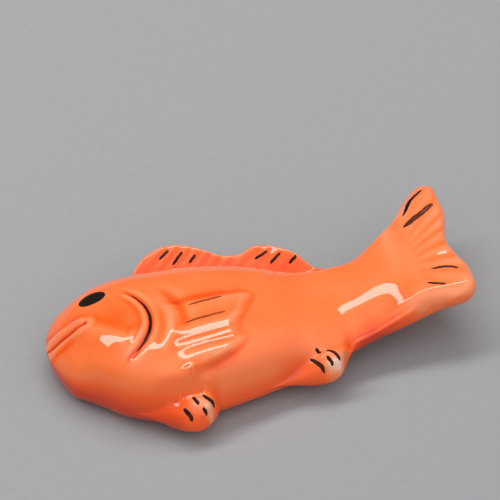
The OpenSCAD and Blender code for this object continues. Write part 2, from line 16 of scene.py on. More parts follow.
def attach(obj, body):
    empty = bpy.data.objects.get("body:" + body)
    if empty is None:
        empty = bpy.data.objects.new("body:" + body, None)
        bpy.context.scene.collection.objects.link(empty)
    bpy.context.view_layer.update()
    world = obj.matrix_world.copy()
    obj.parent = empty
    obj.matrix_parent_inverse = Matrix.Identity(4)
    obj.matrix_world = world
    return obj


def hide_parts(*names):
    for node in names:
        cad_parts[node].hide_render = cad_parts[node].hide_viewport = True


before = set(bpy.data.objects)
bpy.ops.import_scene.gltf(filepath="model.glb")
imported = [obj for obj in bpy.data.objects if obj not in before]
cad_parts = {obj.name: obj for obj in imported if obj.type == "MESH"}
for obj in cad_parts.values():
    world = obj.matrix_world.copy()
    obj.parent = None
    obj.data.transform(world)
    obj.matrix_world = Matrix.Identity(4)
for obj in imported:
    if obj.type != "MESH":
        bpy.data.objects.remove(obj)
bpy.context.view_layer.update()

MM = 0.001

# The form, in millimetres
LENGTH = 68.0
WIDTH = 28.6
HEIGHT = 12.8
GIRTH_HEIGHT = 3.6
FOOT_UNDERCUT = 3.4
SNOUT_RADIUS = 3.2
WRIST = 15.6
WRIST_THICKNESS = 7.0
TAIL_SPAN = 26.6
TAIL_THICKNESS = 4.6
TAIL_RISE = 8.0
TAIL_RIM = 2.0
TAIL_DISH = 0.4
NOTCH_DEPTH = 1.9
LOWER_SETBACK = 0.8
LOBE_RADIUS = 2.4
FRONT_FIN = 6.4
REAR_FIN = 6.2
FIN_HEIGHT = 7.0
FIN_THICKNESS = 3.2
FIN_ROOT = 2.4
FIN_RIM = 0.9
FRONT_VALLEY = 0.7
REAR_VALLEY = 1.7
PELVIC_FIN = 3.4
ANAL_FIN = 3.2
BELLY_FIN_HALF = 2.4
BELLY_FIN_RIM = 3
GILL_RADIUS = 8.25
CENTRING = (-34.0, 2.68)

# How boxy a section is: 2 is an ellipse
BACK_FULLNESS = 2.6
BELLY_FULLNESS = 4.8
WRIST_FULLNESS = 1.85
UNDER_FULLNESS = 3

# Shares of a size along the fish, from the snout (0) to the ends of the tail (1)
HEAD_WIDTH = [(0, 0.42), (0.04, 0.535), (0.08, 0.66), (0.14, 0.87), (0.22, 0.985), (0.3, 1), (1, 1)]
TRUNK_PART = [(0, 1), (0.33, 1), (0.42, 0.86), (0.5, 0.66), (0.6, 0.36), (0.68, 0.14), (0.76, 0),
              (1, 0)]
FAN_PART = [(0, 0), (0.74, 0), (0.82, 0.18), (0.88, 0.42), (0.93, 0.68), (0.965, 0.87),
            (0.985, 0.95), (1, 1)]
MIDLINE = [(0, -0.035), (0.03, -0.05), (0.07, -0.067), (0.15, -0.11), (0.24, -0.135),
           (0.42, -0.145), (0.5, -0.15), (0.6, -0.167), (0.68, -0.173), (0.75, -0.174),
           (0.82, -0.126), (0.88, -0.07), (0.94, -0.01), (1, 0.035)]
CREST = [(0, 0.48), (0.04, 0.65), (0.09, 0.87), (0.16, 0.98), (0.25, 1), (0.4, 0.97), (0.52, 0.88),
         (0.62, 0.78), (0.7, 0.73), (1, 0.73)]
LIFT = [(0, 0.12), (0.04, 0), (0.5, 0), (0.58, 0.05), (0.66, 0.18), (0.76, 0.42), (0.88, 0.76),
        (1, 1)]
FRONT_FIN_RISE = [(0, 0), (0.225, 0), (0.256, 0.36), (0.3, 0.8), (0.36, 1), (0.42, 0.82),
                  (0.47, 0.37), (0.51, 0.05), (0.55, 0), (1, 0)]
REAR_FIN_RISE = [(0, 0), (0.42, 0), (0.465, 0.14), (0.505, 0.53), (0.545, 0.93), (0.58, 1),
                 (0.62, 0.76), (0.665, 0.3), (0.71, 0), (1, 0)]
PELVIC_RISE = [(0, 0), (0.14, 0), (0.2, 0.3), (0.25, 0.85), (0.29, 1), (0.325, 0.5), (0.35, 0),
               (1, 0)]
ANAL_RISE = [(0, 0), (0.46, 0), (0.53, 0.36), (0.59, 0.95), (0.63, 1), (0.662, 0.35), (0.685, 0),
             (1, 0)]
TAIL_LIFT_ONSET = (0.5, 0.3)
TAIL_THIN_ONSET = (0.72, 0.28)
FAN_ONSET = (0.72, 0.16)
TAIL_ROOT = 0.765               # from here on the relief is the tail's

# How the body's grid is spread: closer at the snout and the rims
STATIONS = [(0, 0), (0.02, 0.0034), (0.045, 0.017), (0.075, 0.04), (0.12, 0.083), (0.62, 0.54),
            (0.76, 0.79), (0.9, 0.955), (0.95, 0.988), (1, 1)]
BELLY_BAND = [(0, 0), (0.25, 0.06), (0.6, 0.36), (1, 1)]
FIN_BAND = [(0, 0), (0.5, 0.55), (0.8, 0.91), (0.92, 0.985), (1, 1)]
BELLY_ROWS, SIDE_ROWS, BACK_ROWS = 0.16, 0.62, 0.22
BAND_WIDTH = 0.12               # of the half width
GRID_ALONG, GRID_ACROSS = 290, 150


# Plain curves
def eased(v):
    c = np.clip(v, 0, 1)
    return c * c * (3 - 2 * c)


def onset(v, start, way):
    """0 up to start, then eased up to 1 over the way."""
    return eased((v - start) / way)


def fading(v, end, way):
    """Eased down from 1 over the way, and 0 from the end on."""
    return eased((end - v) / way)


def window(v, low, high, fade):
    return onset(v, low, fade) * fading(v, high, fade)


def rounded(v):
    """A quarter circle from 0 to 1."""
    c = np.clip(v, 0, 1)
    return np.sqrt(c * (2 - c))


def bell(v):
    return np.exp(-v * v)


def mixed(a, b, share):
    return a + (b - a) * share


def curve(table, v):
    """A smooth curve through the table's points."""
    t = np.array(table, float)
    w = np.clip(v, t[0, 0], t[-1, 0])
    i = np.clip(np.searchsorted(t[:, 0], w, side="right") - 1, 0, len(t) - 2)
    near = np.maximum(np.arange(len(t)) - 1, 0)
    far = np.minimum(np.arange(len(t)) + 1, len(t) - 1)
    slope = (t[far, 1] - t[near, 1]) / (t[far, 0] - t[near, 0])
    h = t[i + 1, 0] - t[i, 0]
    u = (w - t[i, 0]) / h
    return ((2 * u**3 - 3 * u**2 + 1) * t[i, 1] + (u**3 - 2 * u**2 + u) * h * slope[i]
            + (3 * u**2 - 2 * u**3) * t[i + 1, 1] + (u**3 - u**2) * h * slope[i + 1])


def fin_rise(table, k):
    return np.maximum(curve(table, k), 0)


def way_along(s, y, a, b):
    """Share of the way along the line from a to b, and the distance from that line."""
    dx, dy = b[0] - a[0], b[1] - a[1]
    w = np.clip(((s - a[0]) * dx + (y - a[1]) * dy) / (dx * dx + dy * dy), 0, 1)
    return w, np.hypot(s - a[0] - w * dx, y - a[1] - w * dy)


def welt(s, y, line, breadth):
    """A soft round ridge of height 1 along a line."""
    return bell(way_along(s, y, *line)[1] / breadth)


def round_about(s, y, centre):
    """Distance and turn from a centre."""
    cx, cy = centre
    return np.hypot(s - cx, y - cy), np.degrees(np.arctan2(y - cy, s - cx))


class Section:
    """The sizes of the fish's section at each station."""

    def __init__(self, s):
        k = s / LENGTH
        trunk, fan = curve(TRUNK_PART, k), curve(FAN_PART, k)
        snout = rounded(s / SNOUT_RADIUS)
        self.s = s
        self.half = np.maximum(snout, 1e-6) * curve(HEAD_WIDTH, k) * (
            WIDTH * trunk + TAIL_SPAN * fan + WRIST * (1 - trunk - fan)) / 2
        self.middle = WIDTH * curve(MIDLINE, k)
        up = FRONT_FIN * fin_rise(FRONT_FIN_RISE, k) + REAR_FIN * fin_rise(REAR_FIN_RISE, k)
        down = PELVIC_FIN * fin_rise(PELVIC_RISE, k) + ANAL_FIN * fin_rise(ANAL_RISE, k)
        self.raised = onset(k, *TAIL_LIFT_ONSET)
        thickness = mixed(WRIST_THICKNESS, TAIL_THICKNESS, onset(k, *TAIL_THIN_ONSET))
        lift = TAIL_RISE * curve(LIFT, k)
        self.seam = mixed(GIRTH_HEIGHT, thickness / 2, self.raised) + lift
        crest = mixed(HEIGHT * curve(CREST, k), lift + thickness, self.raised)
        inner = np.clip(1 - FOOT_UNDERCUT / np.maximum(self.half, FOOT_UNDERCUT), 0, 1)
        self.rise = crest - self.seam
        self.drop = mixed(GIRTH_HEIGHT / np.sqrt(1 - inner**UNDER_FULLNESS), thickness / 2,
                          self.raised)
        self.back, self.belly = self.middle + self.half, self.middle - self.half
        self.dorsal_edge, self.ventral_edge = self.back + up, self.belly - down
        self.fan = onset(k, *FAN_ONSET)
        self.dorsal_fin, self.ventral_fin = eased(up / FIN_ROOT), eased(down / FIN_ROOT)
        self.plate = thickness / 2
        self.ends = snout * rounded((LENGTH - s) / TAIL_RIM)

    def edge_way(self, y):
        """The way to the nearer edge."""
        return np.minimum(self.dorsal_edge - y, y - self.ventral_edge)

    def across(self, v):
        """The place across the fish of each row of the grid."""
        low = self.belly + self.half * BAND_WIDTH
        high = self.back - self.half * BAND_WIDTH
        back_from = 1 - BACK_ROWS
        return np.where(
            v < BELLY_ROWS, mixed(self.ventral_edge, low, curve(BELLY_BAND, v / BELLY_ROWS)),
            np.where(v < back_from, mixed(low, high, (v - BELLY_ROWS) / SIDE_ROWS),
                     mixed(high, self.dorsal_edge, curve(FIN_BAND, (v - back_from) / BACK_ROWS))))


# Relief of the head. A line runs from place to place.
JAW_LINE = ((5.2, -8.3), (8.9, -11.8))
JAW_DEPTH, JAW_BREADTH = 0.25, 1.3
MOUTH_LINE = ((0, -0.95), (5.8, -2.75))
MOUTH_DEPTH, MOUTH_BREADTH = 0.6, 0.42
LIP_HEIGHT, LIP_BREADTH, LIP_WAY_OFF = 0.4, 0.68, 1.05
LIP_END = (1.15, 0.4)       # as shares of the mouth line
CHEEK_LINE = ((5.5, -3.6), (10.6, -8.7))
CHEEK_FRONT, CHEEK_REAR, CHEEK_BREADTH = 0.8, 0.42, 1.7
JOWL_LINE = ((10.6, -8.7), (13.4, -8.5))
JOWL_HEIGHT, JOWL_BREADTH = 0.34, 1.4

GILL_CENTRE = (0.109 * LENGTH, -0.16 * WIDTH)
GILL_SWEEP = (-74, 53, 16)
GILL_END = (60, 40)
GILL_DEPTH, GILL_BREADTH = 0.42, 0.6
GILL_LIP_HEIGHT, GILL_LIP_BREADTH, GILL_LIP_INSET = 0.3, 0.5, 0.85
GILL_LIP_START = (-62, 20)

COVER_CENTRE = (0.125 * LENGTH, -0.21 * WIDTH)
COVER_START, COVER_END = (-52, 45), (42, 70)
COVER_HEIGHT, COVER_RADIUS, COVER_BREADTH = 0.55, 9.8, 1.0
HOLLOW_SWEEP = (-22, 40, 22)
HOLLOW_DEPTH, HOLLOW_RADIUS, HOLLOW_BREADTH = 0.42, 12.1, 1.1


def jaw_hollow(s, y):
    return JAW_DEPTH * welt(s, y, JAW_LINE, JAW_BREADTH)


def mouth_relief(s, y):
    """The slit between two lips, the cheek behind it and the hollow over the jaw."""
    along, off = way_along(s, y, *MOUTH_LINE)
    lips = LIP_HEIGHT * bell((off - LIP_WAY_OFF) / LIP_BREADTH) * fading(along, *LIP_END)
    slit = MOUTH_DEPTH * bell(off / MOUTH_BREADTH)
    w, far = way_along(s, y, *CHEEK_LINE)
    cheek = np.maximum(mixed(CHEEK_FRONT, CHEEK_REAR, w) * bell(far / CHEEK_BREADTH),
                       JOWL_HEIGHT * welt(s, y, JOWL_LINE, JOWL_BREADTH))
    return lips - slit + cheek - jaw_hollow(s, y)


def gill_relief(s, y):
    """The groove behind the cheek, with a lip on its inner side."""
    r, a = round_about(s, y, GILL_CENTRE)
    off = r - GILL_RADIUS
    lip = (GILL_LIP_HEIGHT * onset(a, *GILL_LIP_START)
           * bell((off + GILL_LIP_INSET) / GILL_LIP_BREADTH))
    return window(a, *GILL_SWEEP) * fading(a, *GILL_END) * (
        lip - GILL_DEPTH * bell(off / GILL_BREADTH))


def cover_relief(s, y):
    """The gill cover's ridge, and the hollow that sets it off from the side."""
    r, a = round_about(s, y, COVER_CENTRE)
    ridge = (onset(a, *COVER_START) * fading(a, *COVER_END)
             * COVER_HEIGHT * bell((r - COVER_RADIUS) / COVER_BREADTH))
    hollow = (window(a, *HOLLOW_SWEEP)
              * HOLLOW_DEPTH * bell((r - HOLLOW_RADIUS) / HOLLOW_BREADTH))
    return ridge - hollow


# Relief of the fins. The tips are shares of the width and, for each, the share of the length
# where the pectoral fin ends. A ray is its two ends, its breadth and its height.
PECTORAL_TIPS = [(-0.6, 0.3), (-0.55, 0.36), (-0.507, 0.405), (-0.444, 0.432), (-0.39, 0.424),
                 (-0.33, 0.432), (-0.234, 0.46), (-0.136, 0.48), (-0.09, 0.464)]
PECTORAL_RAYS = [((20.0, -6.3), (31.8, -4.2), 1.35, 0.13),
                 ((18.8, -10.1), (29.6, -8.8), 1.05, 0.125),
                 ((18.6, -12.6), (28.4, -11.2), 0.9, 0.095),
                 ((14.8, -15.9), (29.0, -14.4), 1.5, 0.34)]
PECTORAL_WINDOW = (-0.643 * WIDTH, -0.1 * WIDTH, 1.6)
PECTORAL_START = (0.25 * LENGTH, 3)
PECTORAL_TIP_WAY = 2.2
PECTORAL_HEIGHT, PECTORAL_SLOPE, PECTORAL_SLOPES_FROM = 0.3, 0.05, -8
PECTORAL_LOW_EDGE, PECTORAL_CURLS_FROM, PECTORAL_CURL_WAY = 0.6, -11, 4
FOLD_LINE = ((12.8, -16.1), (22.5, -17.7))
FOLD_HEIGHT, FOLD_BREADTH, FOLD_WINDOW = 0.62, 0.75, (0, 1, 0.45)

FIN_RAY_DEPTH, FIN_RAY_SLANT = 0.05, 1.15
FIN_RAYS_FROM = 0.206               # of the length
FIN_RAY_PITCH = 0.441 / 2 / 7       # two fins of seven rays share this part of the length

TAIL_RAY_DEPTH, TAIL_RAYS, TAIL_FAN_ANGLE = 0.13, 8, 110
TAIL_RAY_CENTRE, TAIL_RAY_ONSET = 0.8, (0.86, 0.12)
TAIL_DISH_ONSET = (0.82, 0.12)

NUBS = [((18.9, -18.5), (20.9, -18.9)), ((41.2, -16.1), (43.4, -16.3))]
NUB_HEIGHT, NUB_BREADTH = 1.7, 2.1


def pectoral_relief(s, y):
    """A plate with four rays, thinner to the belly, its low edge curled up over a fold."""
    rays = np.max([height * welt(s, y, (a, b), breadth)
                   for a, b, breadth, height in PECTORAL_RAYS], axis=0)
    plate = window(y, *PECTORAL_WINDOW) * onset(s, *PECTORAL_START)
    thickness = (PECTORAL_HEIGHT - PECTORAL_SLOPE * np.maximum(PECTORAL_SLOPES_FROM - y, 0)
                 + PECTORAL_LOW_EDGE
                 * (np.maximum(PECTORAL_CURLS_FROM - y, 0) / PECTORAL_CURL_WAY)**2)
    before_tip = fading(s, LENGTH * curve(PECTORAL_TIPS, y / WIDTH), PECTORAL_TIP_WAY)
    along, off = way_along(s, y, *FOLD_LINE)
    fold = FOLD_HEIGHT * bell(off / FOLD_BREADTH) * window(along, *FOLD_WINDOW)
    return before_tip * (plate * thickness + rays) + fold


def fin_ray_relief(s, y, q):
    """Slanted grooves on the dorsal fins."""
    slanted = (s + FIN_RAY_SLANT * (q.back - y)) / LENGTH
    phase = (slanted - FIN_RAYS_FROM) / FIN_RAY_PITCH
    outward = onset(y, q.back, FIN_ROOT)
    return -FIN_RAY_DEPTH * q.dorsal_fin * outward * (1 - np.cos(2 * np.pi * phase)) / 2


def tail_ray_relief(s, y, q):
    """Grooves that fan out over the tail, and its dished middle."""
    k = s / LENGTH
    a = np.arctan2(y - q.middle, np.maximum(s - TAIL_RAY_CENTRE * LENGTH, 0.01))
    waves = np.cos(2 * np.pi * TAIL_RAYS * a / math.radians(TAIL_FAN_ANGLE)) - 1
    rays = TAIL_RAY_DEPTH * onset(k, *TAIL_RAY_ONSET) * waves / 2
    v = (y - q.middle) / q.half
    return rays - TAIL_DISH * onset(k, *TAIL_DISH_ONSET) * (1 - v * v)


def nub_relief(s, y, height=NUB_HEIGHT, breadth=NUB_BREADTH):
    """The two rounded nubs on the pelvic and the anal fin."""
    return sum(height * welt(s, y, line, breadth) for line in NUBS)


# Relief of the wrist
WRIST_LEAN = 0.07
LEAN_START, LEAN_END = (38, 8), (59.5, 3.5)
WRIST_RIM, WRIST_RIM_INSET, WRIST_RIM_BREADTH, WRIST_RIM_WINDOW = 0.15, 1.0, 0.7, (44, 60, 4)
WRIST_UNDER, UNDER_WAY_OFF, UNDER_WAY, UNDER_WINDOW = 0.6, 2.5, 5, (44, 58, 6)
LOBE_ROOT, LOBE_ROOT_HEIGHT, LOBE_ROOT_BREADTH = (57, -10.3), 0.35, 2.2


def wrist_relief(s, y, q):
    """The wrist leans to the belly, falls away to its low rim and swells at the lobe's root."""
    lean = WRIST_LEAN * (y - q.middle) * onset(s, *LEAN_START) * fading(s, *LEAN_END)
    rim = (WRIST_RIM * bell((y - q.ventral_edge - WRIST_RIM_INSET) / WRIST_RIM_BREADTH)
           * window(s, *WRIST_RIM_WINDOW))
    under = (WRIST_UNDER * (np.maximum(q.middle - UNDER_WAY_OFF - y, 0) / UNDER_WAY)**2
             * window(s, *UNDER_WINDOW))
    root = LOBE_ROOT_HEIGHT * bell(
        np.hypot(s - LOBE_ROOT[0], y - LOBE_ROOT[1]) / LOBE_ROOT_BREADTH)
    return lean + rim - under + root


def relief(s, y, q):
    fore = mouth_relief(s, y) + gill_relief(s, y) + cover_relief(s, y) + pectoral_relief(s, y)
    fore = fore + nub_relief(s, y) + fin_ray_relief(s, y, q)
    return np.where(s < TAIL_ROOT * LENGTH, fore, tail_ray_relief(s, y, q)) + wrist_relief(s, y, q)


# The two faces
VALLEY_ONSET = (35, 6)          # where the front fin's valley turns into the rear fin's
VALLEY_WAY_OFF, VALLEY_BREADTH = 0.6, 1.8
FIN_BEND = 2.2                  # 1 is a flat slope from the back to the fin's edge
NOTCH_ONSET, NOTCH_MIDDLE, NOTCH_HALF = (0.8, 0.2), 0.08, 0.6
RELIEF_EDGE = 0.8               # over this way the relief dies out at the rims
LOW_RIM_ONSET = (60, 4)         # from here on the under face's rim follows the upper relief


def heights(y, q):
    """Height of the sheet that the two faces swell from, and of the upper and lower face off it."""
    d = q.edge_way(y)
    v = np.clip(np.abs(y - q.middle) / q.half, 0, 1)
    reach = np.maximum(q.dorsal_edge - q.back + FIN_ROOT, 1e-6)
    valley = (mixed(FRONT_VALLEY, REAR_VALLEY, onset(q.s, *VALLEY_ONSET))
              * bell((y - q.back - VALLEY_WAY_OFF) / VALLEY_BREADTH))
    fin_seam = FIN_HEIGHT - FIN_THICKNESS / 2
    swept = np.clip((y - q.back + FIN_ROOT) / reach, 0, 1)**FIN_BEND
    sheet = q.seam + q.ends * q.dorsal_fin * (fin_seam - q.seam) * swept - q.dorsal_fin * valley
    tail = q.fan * (q.plate * rounded(d / TAIL_RIM))**3
    fins = (q.dorsal_fin * eased((y - q.middle) / q.half)
            * (FIN_THICKNESS / 2 * rounded(d / FIN_RIM))**3)
    nubs = (q.ventral_fin * eased((q.middle - y) / q.half)
            * (BELLY_FIN_HALF * rounded(d / BELLY_FIN_RIM))**3)
    side = np.where(y > q.middle, BACK_FULLNESS, BELLY_FULLNESS)
    over = q.rise * np.sqrt(1 - v**mixed(side, WRIST_FULLNESS, q.raised))
    below = q.drop * np.sqrt(1 - v**UNDER_FULLNESS)
    upper, lower = (q.ends * np.cbrt((1 - q.fan) * trunk**3 + (tail + fins) + nubs)
                    for trunk in (over, below))
    return sheet, upper, lower


def tail_pull(y, q):
    """How far the tail's end is drawn in, at the notch, the lower lobe and the corners."""
    v = (y - q.middle) / q.half
    corner = np.clip((np.abs(y - q.middle) - q.half + LOBE_RADIUS) / LOBE_RADIUS, 0, 1)
    return onset(q.s / LENGTH, *NOTCH_ONSET) * (
        NOTCH_DEPTH * (1 - eased(np.abs(v + NOTCH_MIDDLE) / NOTCH_HALF))
        + LOWER_SETBACK * eased(-v) + LOBE_RADIUS * (1 - np.sqrt(1 - corner * corner)))


def placed(s, y, z, q):
    return np.stack([s - tail_pull(y, q) + CENTRING[0], y + CENTRING[1], z], -1)


def upper_face(s, y):
    q = Section(s)
    sheet, upper, _ = heights(y, q)
    carved = relief(s, y, q) * eased(q.edge_way(y) / RELIEF_EDGE) * eased(s / RELIEF_EDGE)
    return placed(s, y, sheet + upper + carved, q)


def lower_face(s, y):
    q = Section(s)
    sheet, _, lower = heights(y, q)
    rim = (relief(s, y, q) * eased(q.edge_way(y) / RELIEF_EDGE) * (1 - q.ends)
           * onset(s, *LOW_RIM_ONSET))
    return placed(s, y, sheet - lower + rim, q)


def upward(s, y, step=0.05):
    """The upper face's normal."""
    n = np.cross(upper_face(s + step, y) - upper_face(s - step, y),
                 upper_face(s, y + step) - upper_face(s, y - step))
    return n / np.linalg.norm(n, axis=-1, keepdims=True)


# Making meshes by hand
BODY_CREASE, MARK_CREASE = 40, 60       # edges that turn by more than this stay sharp


def nothing_selected():
    if bpy.context.object and bpy.context.object.mode != "OBJECT":
        bpy.ops.object.mode_set(mode="OBJECT")
    bpy.ops.object.select_all(action="DESELECT")


def chosen(piece):
    nothing_selected()
    piece.select_set(True)
    bpy.context.view_layer.objects.active = piece


def grid_sheet(name, along, across, place):
    """A grid primitive whose points go to place(u, v), in millimetres."""
    nothing_selected()
    bpy.ops.mesh.primitive_grid_add(x_subdivisions=along, y_subdivisions=across, size=2)
    piece = bpy.context.object
    piece.name = piece.data.name = name
    flat = np.empty(len(piece.data.vertices) * 3)
    piece.data.vertices.foreach_get("co", flat)
    flat = flat.reshape(-1, 3)
    points = place((flat[:, 0] + 1) / 2, (flat[:, 1] + 1) / 2) * MM
    piece.data.vertices.foreach_set("co", points.ravel())
    piece.data.update()
    return piece


def heights_of(piece):
    """The height of each of its points, in millimetres."""
    co = np.empty(len(piece.data.vertices) * 3)
    piece.data.vertices.foreach_get("co", co)
    return co.reshape(-1, 3)[:, 2] / MM


def point_values(piece, name, values):
    """An attribute with one value for each point, in the order of the grid's points."""
    a = piece.data.attributes.new(name, "FLOAT", "POINT")
    a.data.foreach_set("value", values.ravel().astype(np.float32))


def joined(pieces, name):
    chosen(pieces[0])
    for p in pieces[1:]:
        p.select_set(True)
    if len(pieces) > 1:
        bpy.ops.object.join()
    piece = bpy.context.object
    piece.name = piece.data.name = name
    return piece


def merged(piece, gap=1e-7):
    chosen(piece)
    bpy.ops.object.mode_set(mode="EDIT")
    bpy.ops.mesh.select_all(action="SELECT")
    bpy.ops.mesh.remove_doubles(threshold=gap)
    bpy.ops.mesh.normals_make_consistent(inside=False)
    bpy.ops.object.mode_set(mode="OBJECT")


def cut_flat(piece, gap=1e-8):
    """Cuts off what lies under the table top and closes the cut."""
    chosen(piece)
    bpy.ops.object.mode_set(mode="EDIT")
    bpy.ops.mesh.select_all(action="SELECT")
    bpy.ops.mesh.bisect(plane_co=(0, 0, 0), plane_no=(0, 0, 1), use_fill=True, clear_inner=True,
                        threshold=gap)
    bpy.ops.object.mode_set(mode="OBJECT")


def thickened(piece, depth):
    chosen(piece)
    m = piece.modifiers.new("wall", "SOLIDIFY")
    m.thickness = depth * MM
    m.offset = -1
    bpy.ops.object.modifier_apply(modifier=m.name)


def smooth(piece, degrees):
    chosen(piece)
    bpy.ops.object.shade_smooth_by_angle(angle=math.radians(degrees))


# Materials
def new_material(name):
    m = bpy.data.materials.new(name)
    m.use_nodes = True
    tree = m.node_tree
    tree.nodes.clear()
    out = tree.nodes.new("ShaderNodeOutputMaterial")
    shader = tree.nodes.new("ShaderNodeBsdfPrincipled")
    tree.links.new(shader.outputs[0], out.inputs[0])
    return m, tree, shader


def node(tree, kind, **values):
    n = tree.nodes.new(kind)
    for key, value in values.items():
        if hasattr(n, key):
            setattr(n, key, value)
        else:
            n.inputs[key].default_value = value
    return n


def noise(tree, vector, scale, detail, roughness):
    n = node(tree, "ShaderNodeTexNoise", Scale=scale, Detail=detail, Roughness=roughness)
    tree.links.new(vector, n.inputs["Vector"])
    return n.outputs["Fac"]


def ramp(tree, source, stops):
    n = tree.nodes.new("ShaderNodeValToRGB")
    while len(n.color_ramp.elements) < len(stops):
        n.color_ramp.elements.new(0.5)
    for e, (place, colour) in zip(n.color_ramp.elements, stops):
        e.position = place
        e.color = (*colour, 1)
    tree.links.new(source, n.inputs[0])
    return n.outputs[0]


def added(tree, first, second):
    n = node(tree, "ShaderNodeMath", operation="ADD")
    tree.links.new(first, n.inputs[0])
    tree.links.new(second, n.inputs[1])
    return n.outputs[0]


def bumps(tree, height, strength, depth):
    """Small bumps of the given depth in millimetres."""
    n = node(tree, "ShaderNodeBump", Strength=strength, Distance=depth * MM)
    tree.links.new(height, n.inputs["Height"])
    return n.outputs[0]


def finished(shader, finish):
    for name, value in finish.items():
        shader.inputs[name].default_value = value


def orange_glaze():
    """Glossy glaze, pale where it lies thin and deep orange where it pooled; its depth also carries
    painted shade low on the sides, on the dorsal fins and low on the wrist, and a painted highlight
    on the nubs.
    """
    m, tree, shader = new_material("orange_glaze_fired")
    link = tree.links.new
    here = node(tree, "ShaderNodeTexCoord").outputs["Object"]
    pool_and_painted_shade = node(tree, "ShaderNodeAttribute", attribute_name="glaze_depth_and_painted_light").outputs["Fac"]
    drift = node(tree, "ShaderNodeMapRange", **{"To Min": -0.09, "To Max": 0.09})
    link(noise(tree, here, scale=170.0, detail=3.0, roughness=0.55), drift.inputs["Value"])
    # the deepest stops, darker in red as well, give the painted shade; the palest, near white,
    # gives the nubs' spots, bare clay with a painted highlight
    link(ramp(tree, added(tree, pool_and_painted_shade, drift.outputs[0]), [
        (0.0, (1.0, 0.7, 0.55)), (0.1, (1.0, 0.36, 0.18)), (0.3, (1.0, 0.235, 0.08)),
        (0.45, (1.0, 0.19, 0.045)), (0.65, (1.0, 0.115, 0.01)), (0.85, (0.88, 0.077, 0.008)),
        (1.0, (0.64, 0.042, 0.004))]), shader.inputs["Base Color"])
    waves = bumps(tree, noise(tree, here, scale=260.0, detail=1.5, roughness=0.4),
                  strength=0.25, depth=0.12)
    link(waves, shader.inputs["Normal"])
    link(waves, shader.inputs["Coat Normal"])
    finished(shader, {"Roughness": 0.5, "Specular IOR Level": 0.0, "Coat Weight": 1.0,
                      "Coat Roughness": 0.03, "Coat IOR": 1.5})
    return m


def bare_clay():
    m, tree, shader = new_material("bare_white_clay")
    here = node(tree, "ShaderNodeTexCoord").outputs["Object"]
    grain = noise(tree, here, scale=2600.0, detail=4.0, roughness=0.6)
    tree.links.new(ramp(tree, grain, [(0.3, (0.60, 0.55, 0.47)), (0.7, (0.72, 0.68, 0.60))]),
                   shader.inputs["Base Color"])
    tree.links.new(bumps(tree, grain, strength=0.3, depth=0.04), shader.inputs["Normal"])
    finished(shader, {"Roughness": 0.85})
    return m


def black_enamel(name, thin):
    """Brushed enamel: dense black where the brush was full, brown streaks where it ran thin."""
    m, tree, shader = new_material(name)
    link = tree.links.new
    stretch = node(tree, "ShaderNodeMapping", Scale=(2.2, 16.0, 1.0))
    link(node(tree, "ShaderNodeUVMap", uv_map="brush").outputs[0], stretch.inputs["Vector"])
    streaks = noise(tree, stretch.outputs[0], scale=1.0, detail=4.0, roughness=0.65)
    load = node(tree, "ShaderNodeAttribute", attribute_name="enamel_load").outputs["Fac"]
    link(ramp(tree, added(tree, streaks, load), [
        (0.42 + thin, (0.42, 0.075, 0.012)), (0.56 + thin, (0.10, 0.02, 0.006)),
        (0.7 + thin, (0.012, 0.007, 0.005))]), shader.inputs["Base Color"])
    finished(shader, {"Roughness": 0.45, "Specular IOR Level": 0.08, "Coat Weight": 0.08,
                      "Coat Roughness": 0.12})
    return m


def grey_paper():
    m, tree, shader = new_material("grey_paper")
    here = node(tree, "ShaderNodeTexCoord").outputs["Object"]
    fleck = noise(tree, here, scale=900.0, detail=3.0, roughness=0.5)
    tree.links.new(ramp(tree, fleck, [(0.3, (0.315, 0.318, 0.326)), (0.7, (0.327, 0.33, 0.338))]),
                   shader.inputs["Base Color"])
    finished(shader, {"Roughness": 0.7, "Specular IOR Level": 0.2})
    return m


GLAZE, CLAY = orange_glaze(), bare_clay()
ENAMEL = black_enamel("black_enamel_brushed", 0.0)
THIN_ENAMEL = black_enamel("black_enamel_thin", 0.12)


# The glazed body. The glaze's depth runs from 0, almost bare clay, to 1, pooled; it also carries
# painted shade, and a painted highlight on the nubs.
GLAZE_BASE, FAN_THINNER = 0.44, 0.1
POOL_REACHES = ((2, 0.6), (5, 0.7))     # points away on the full grid, and the weight
POOL_STRENGTH, POOL_LEAST = 0.9, -0.3
POOL_ONSET = (-17, 5)                   # carving lower on the belly gathers nothing
# painted shade low on the sides, partly glaze run deeper there: how much, and the heights over
# which it fades
LOW_SIDE_SHADE, LOW_SIDE_HEIGHT = 0.5, (0.64, 0.65)
# painted shade on the dorsal fins' faces and the way in from their edge over which it comes; the
# low-side shade is kept off the fins
FIN_FACE_SHADE, FIN_FACE_SHADE_EDGE, FINS_KEPT_CLEAR = 0.2, 1.2, 0.9
CHEEK_GLAZE, CHEEK_MIDDLE, CHEEK_HALF = 0.16, (10.5, -3.5), (3.5, 4)
# painted shade in a band low on the wrist, where its side turns down to the low rim
WRIST_LOW_SHADE, WRIST_SHADE_WAY_OFF, WRIST_SHADE_BREADTH = 0.1, 5.5, 3
WRIST_SHADE_WINDOW = (45, 63, 5)
RIM_THINNER, RIM_WIDTH, DORSAL_RIM = 0.4, 0.9, 0.6
# pale spots on the nubs, partly bare clay and partly painted highlight
NUB_PALE_SPOTS = ((0, -1.3, 0.5, 0.8), (1.6, -2.2, 0.3, 0.5))   # off the nub, how bare, how broad
OVER_PECTORAL_LINE = ((20.5, -3.7), (27.0, -2.9))
OVER_PECTORAL_GLAZE, OVER_PECTORAL_BREADTH = 0.2, 1.1
# the least glaze depth away from the nubs, and how broad the nubs' pale spots of bare clay and
# painted highlight are
THINNEST, NUB_PALE_BREADTH = 0.25, 2.5


